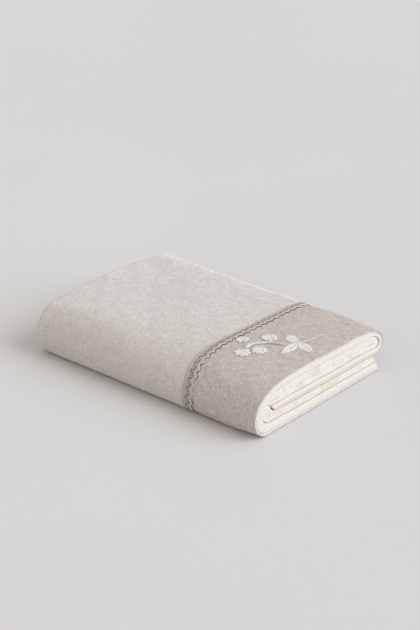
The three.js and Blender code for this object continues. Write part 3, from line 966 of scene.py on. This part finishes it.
def noise(tree, scale, detail=3, stretch=(1, 1, 1), vector=None):
    """Noise over the object's own coordinates, in metres, or over a vector, drawn out by stretch."""
    coordinates = tree.nodes.new("ShaderNodeTexCoord").outputs["Object"] if vector is None else vector
    mapping = add_node(tree, "ShaderNodeMapping", {"Vector": coordinates, "Scale": stretch})
    inputs = {"Vector": mapping.outputs[0], "Scale": scale, "Detail": detail}
    return add_node(tree, "ShaderNodeTexNoise", inputs).outputs["Fac"]


def blend_colours(tree, share, first, second):
    mix = add_node(tree, "ShaderNodeMix", {0: share}, data_type="RGBA")
    plug(tree, mix.inputs[6], first)
    plug(tree, mix.inputs[7], second)
    return mix.outputs[2]


def calculate(tree, operation, *values):
    return add_node(tree, "ShaderNodeMath", dict(enumerate(values)), operation=operation).outputs[0]


def spread(tree, value, low, high):
    """value from low to high, spread over nought to one."""
    node = add_node(tree, "ShaderNodeMapRange", {"Value": value, "From Min": low, "From Max": high})
    return node.outputs[0]


def mottled(tree, scale, low, high, dark, light):
    """Two colours mixed by noise."""
    return blend_colours(tree, spread(tree, noise(tree, scale), low, high), dark, light)


def bump(tree, shader, height, distance, strength=0.6):
    node = add_node(tree, "ShaderNodeBump", {"Height": height, "Distance": distance, "Strength": strength})
    tree.links.new(node.outputs[0], shader.inputs["Normal"])


def cotton(name, roughness=0.95, sheen=0.0):
    material, tree, shader = new_material(name)
    shader.inputs["Roughness"].default_value = roughness
    shader.inputs["Specular IOR Level"].default_value = 0.2
    shader.inputs["Sheen Weight"].default_value = sheen
    return material, tree, shader


def attribute(tree, name):
    return add_node(tree, "ShaderNodeAttribute", attribute_name=name).outputs["Fac"]


def pile_material(name, dark, light, shade_tint=None):
    """Terry pile: each loop has its own tone, in clumps and wide drifts. With a shade tint, tan spots of
    painted shade are scattered over it by noise.
    """
    material, tree, shader = cotton(name, sheen=0.3)
    clumps = spread(tree, noise(tree, 420), 0.36, 0.64)
    drifts = spread(tree, noise(tree, 110), 0.36, 0.64)
    patches = calculate(tree, "MULTIPLY_ADD", drifts, 0.27, calculate(tree, "MULTIPLY", clumps, 0.6))
    share = calculate(tree, "MULTIPLY_ADD", attribute(tree, "tone"), 0.5, patches)
    colour = blend_colours(tree, share, dark, light)
    if shade_tint:
        # painted shade: tan spots scattered by noise over the pile
        spots = spread(tree, noise(tree, 66, 4), 0.53, 0.64)
        colour = blend_colours(tree, calculate(tree, "MULTIPLY", spots, 0.75), colour, shade_tint)
    tree.links.new(colour, shader.inputs["Base Color"])
    return material


def ground_material():
    """Woven cotton: the hems, the edges and the ground under the pile, with painted shade in tan in the
    lines between layers.
    """
    material, tree, shader = cotton("terry ground")
    plain = mottled(tree, 350, 0.3, 0.7, linear(213, 208, 203), linear(228, 224, 219))
    patchy = spread(tree, noise(tree, 80), 0.38, 0.6)
    # painted shade: tan in patches where the gaps between the layers lie in shade
    tan = calculate(tree, "MULTIPLY", attribute(tree, "tan"), patchy)
    colour = blend_colours(tree, tan, plain, linear(228, 216, 200))
    tree.links.new(colour, shader.inputs["Base Color"])
    bump(tree, shader, noise(tree, 900, 2), 0.0003)
    return material


def linen_material():
    """Linen weave: fine threads along the course, cloudy where they are uneven."""
    material, tree, shader = cotton("linen weave", 0.9)
    across = attribute(tree, "across")
    along = attribute(tree, "along")
    place = add_node(tree, "ShaderNodeCombineXYZ", {"X": across, "Y": along}).outputs[0]
    warp = noise(tree, 1, 4, (1.35, 0.1, 1), place)
    weft = noise(tree, 1, 4, (0.1, 1.45, 1), place)
    slubs = calculate(tree, "MULTIPLY_ADD", warp, 0.55, calculate(tree, "MULTIPLY", weft, 0.45))
    share = spread(tree, slubs, 0.4, 0.6)
    colour = blend_colours(tree, share, linear(170, 160, 154), linear(216, 209, 204))
    tree.links.new(colour, shader.inputs["Base Color"])
    bump(tree, shader, slubs, 0.0005)
    return material


def lace_material():
    """The lace's own cotton, with painted shade in dark brown in its holes."""
    material, tree, shader = cotton("lace ground", 0.9)
    plain = mottled(tree, 500, 0.35, 0.65, linear(178, 169, 164), linear(208, 200, 195))
    # painted shade: dark brown in the holes
    colour = blend_colours(tree, attribute(tree, "hole"), plain, linear(78, 66, 60))
    tree.links.new(colour, shader.inputs["Base Color"])
    bump(tree, shader, noise(tree, 1000, 2), 0.0003)
    return material


def yarn_material(name, dark, light, scale=500, relief=0.0003, sheen=0.0):
    """Spun thread, mottled and rough at the same scale."""
    material, tree, shader = cotton(name, 0.9, sheen)
    colour = mottled(tree, scale, 0.35, 0.65, dark, light)
    tree.links.new(colour, shader.inputs["Base Color"])
    bump(tree, shader, noise(tree, scale * 2, 2), relief)
    return material


# Stage, light and camera

FLOOR_HALF = 4.0  # metres
FILL_STRENGTH = 0.63
FILL_COLOUR = (1.065, 1, 0.935)
LAMP_WIDTH = math.radians(50)
LAMPS = [  # from is the direction that a lamp's light comes from
    {"name": "key", "strength": 2.08, "colour": (0.93, 1, 1.07), "from": (0.75, 0.35, 0.5)},
    {"name": "front", "strength": 0.2, "colour": FILL_COLOUR, "from": (-0.25, -0.9, 0.12)},
]

# The camera's place is given by the direction that it looks along
AZIMUTH = math.radians(40.478)
ELEVATION = math.radians(25.928)
CAMERA_DISTANCE = 2424
CAMERA_LENS = 114.3
SENSOR_WIDTH = 36
AIM_HEIGHT = 33
AIM_RIGHT = 3.59
AIM_UP = 24.83


def floor():
    corners = np.array([(-1, -1, 0), (1, -1, 0), (1, 1, 0), (-1, 1, 0)]) * FLOOR_HALF / MM
    material, tree, shader = new_material("pale floor")
    colour = blend_colours(tree, noise(tree, 2, 2), linear(213, 213, 213), linear(217, 217, 217))
    tree.links.new(colour, shader.inputs["Base Color"])
    shader.inputs["Roughness"].default_value = 0.9
    plane = new_piece("floor", corners, np.array([[0, 1, 2, 3]]), material)


def look_along(item, direction):
    item.rotation_euler = Vector(direction).to_track_quat("-Z", "Y").to_euler()


def lights():
    """Even light from all round, one very soft key from the right, as if through a wide screen, and a
    weak one that lifts the front."""
    world = bpy.data.worlds.new("studio")
    world.use_nodes = True
    background = world.node_tree.nodes["Background"]
    background.inputs["Color"].default_value = (*FILL_COLOUR, 1)
    background.inputs["Strength"].default_value = FILL_STRENGTH
    bpy.context.scene.world = world
    for lamp in LAMPS:
        data = bpy.data.lights.new(lamp["name"], "SUN")
        data.energy = lamp["strength"]
        data.color = lamp["colour"]
        data.angle = LAMP_WIDTH
        item = add_to_scene(lamp["name"], data)
        item.location = lamp["from"]
        look_along(item, -item.location)


def camera():
    data = bpy.data.cameras.new("camera")
    data.lens = CAMERA_LENS
    data.sensor_width = SENSOR_WIDTH
    item = add_to_scene("camera", data)
    right = np.array([math.cos(AZIMUTH), math.sin(AZIMUTH), 0])
    level = np.array([-math.sin(AZIMUTH), math.cos(AZIMUTH), 0])
    forward = level * math.cos(ELEVATION) - np.array([0, 0, math.sin(ELEVATION)])
    up = np.cross(right, forward)
    aim = np.array([0, 0, AIM_HEIGHT]) + AIM_RIGHT * right + AIM_UP * up
    item.location = (aim - CAMERA_DISTANCE * forward) * MM
    look_along(item, forward)
    bpy.context.scene.camera = item


# The scene

def dress(piece, slot, *nodes):
    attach(piece, "root")
    if nodes:
        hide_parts(*nodes)
    return piece


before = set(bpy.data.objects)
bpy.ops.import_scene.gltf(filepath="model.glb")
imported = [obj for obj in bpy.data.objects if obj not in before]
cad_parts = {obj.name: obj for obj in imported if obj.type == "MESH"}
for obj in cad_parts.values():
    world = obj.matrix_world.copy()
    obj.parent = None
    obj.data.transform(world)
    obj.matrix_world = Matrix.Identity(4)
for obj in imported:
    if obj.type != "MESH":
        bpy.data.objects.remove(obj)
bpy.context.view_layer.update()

MATERIALS = {
    "ground": ground_material(),
    "pile": pile_material("terry pile", linear(206, 193, 183), linear(251, 249, 247)),
    # painted light: the end's pile is a lighter, warmer copy of the terry pile, so its loops show less
    # shade
    "end_pile": pile_material(
        "end pile", linear(232, 221, 206), linear(248, 245, 241), shade_tint=linear(226, 206, 176)
    ),
    "linen": linen_material(),
    "lace": yarn_material("lace yarn", linear(172, 163, 158), linear(212, 204, 199)),
    "lace_ground": lace_material(),
    # painted highlight: the rim's colours are lighter than the lace yarn's, for the light on the scallops'
    # raised edge
    "lace_rim": yarn_material("lace rim", linear(196, 188, 182), linear(228, 221, 215)),
    # painted shadow: a near-black brown cord where the scallops' rim stands off the linen
    "rim_shadow": yarn_material("painted rim shadow", linear(66, 48, 36), linear(112, 90, 72)),
    "thread": yarn_material("sprig thread", linear(196, 195, 191), linear(244, 244, 242), 480, 0.0005, 0.1),
}
rng = np.random.default_rng(SEED)

towel, pile_pieces = towel_pieces(MATERIALS, rng)
dress(towel, "terry", "towel")
for piece in pile_pieces:
    dress(piece, "terry")
linen = dress(linen_band(MATERIALS["linen"]), "linen", "linen_band")
lace_ground = dress(lace_sheet(MATERIALS["lace_ground"]), "lace", "lace_trim")
lace_cords = [
    lace_yarn(MATERIALS["lace"]),
    lace_rim(MATERIALS["lace_rim"]),
    lace_rim_shadow(MATERIALS["rim_shadow"]),
]
for piece in lace_cords:
    dress(piece, "lace")

for number, spot in enumerate(FLOWERS, 1):
    dress(flower(f"bloom_{number}", spot, MATERIALS["thread"], rng), "thread", f"flower_{number}")
for number, spot in enumerate(LEAVES, 1):
    dress(leaf(f"satin_leaf_{number}", spot, MATERIALS["thread"]), "thread", f"leaf_{number}")
dress(twisted_stem("chain_stem", MAIN_STEM, MATERIALS["thread"]), "thread", "stem_main")
dress(twisted_stem("cord_tail", TAIL_STEM, MATERIALS["thread"]), "thread", "stem_tail")

floor()
lights()
camera()
bpy.context.scene.view_settings.view_transform = "Standard"
